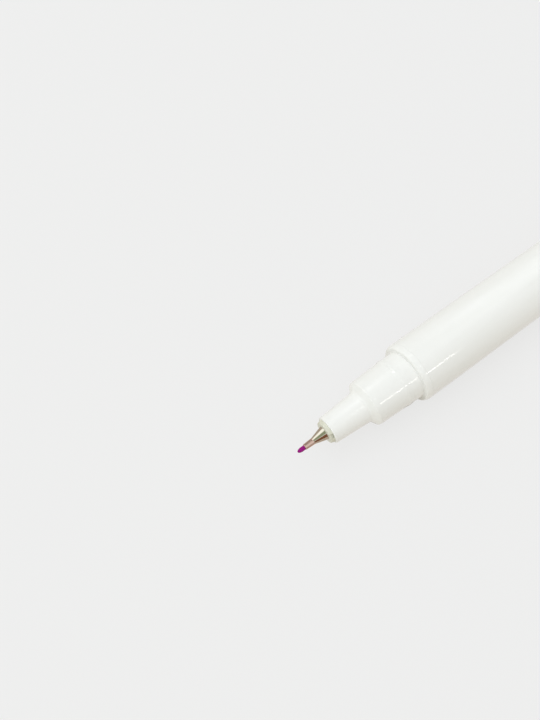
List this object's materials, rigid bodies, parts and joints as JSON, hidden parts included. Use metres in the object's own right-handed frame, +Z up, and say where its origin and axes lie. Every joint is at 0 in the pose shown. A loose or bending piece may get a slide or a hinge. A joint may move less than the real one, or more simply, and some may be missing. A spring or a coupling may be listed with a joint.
{
  "type": "disappearing ink marker",
  "caption": "Slim white marker with a metal-clad fine fibre tip, stepped front with a snap seat for its cap, and a clip cap posted on the tail.",
  "frame": {"origin": "on the marker's axis, half way along the barrel", "axes": "+X along the axis from the writing tip to the tail, +Z up as the marker lies on a table, +Y to the left of +X"},
  "size_m": [0.1588, 0.0124, 0.01],
  "materials": {
    "white_plastic": "glossy moulded white",
    "natural_plastic": "satin natural, slightly milky",
    "nickel": "bright drawn nickel alloy",
    "inked_fibre": "ink-soaked bonded fibre",
    "clear_film": "thin wrapped film",
    "purple_plastic": "glossy moulded purple"
  },
  "bodies": {
    "body": {"barrel": "white_plastic", "front_section": "white_plastic", "nib_holder": "natural_plastic", "tip_ferrule": "nickel", "fibre_nib": "inked_fibre", "ink_reservoir": "inked_fibre", "reservoir_film": "clear_film", "tail_plug": "white_plastic"},
    "cap": {"cap_shell": "purple_plastic", "inner_cap": "natural_plastic", "cap_crown": "purple_plastic"},
    "clip": {"pocket_clip": "purple_plastic"}
  },
  "joints": [
    {"name": "cap_pull", "type": "slide", "parent": "body", "child": "cap", "axis": [1, 0, 0], "range_m": [0, 0.014]},
    {"name": "clip_flex", "type": "hinge", "parent": "cap", "child": "clip", "pos_m": [0.08703, -0.00598, -0.00292], "axis": [0, -0.4387, 0.8986], "range_deg": [0, 4], "stiffness_Nm_per_rad": 0.1}
  ]
}
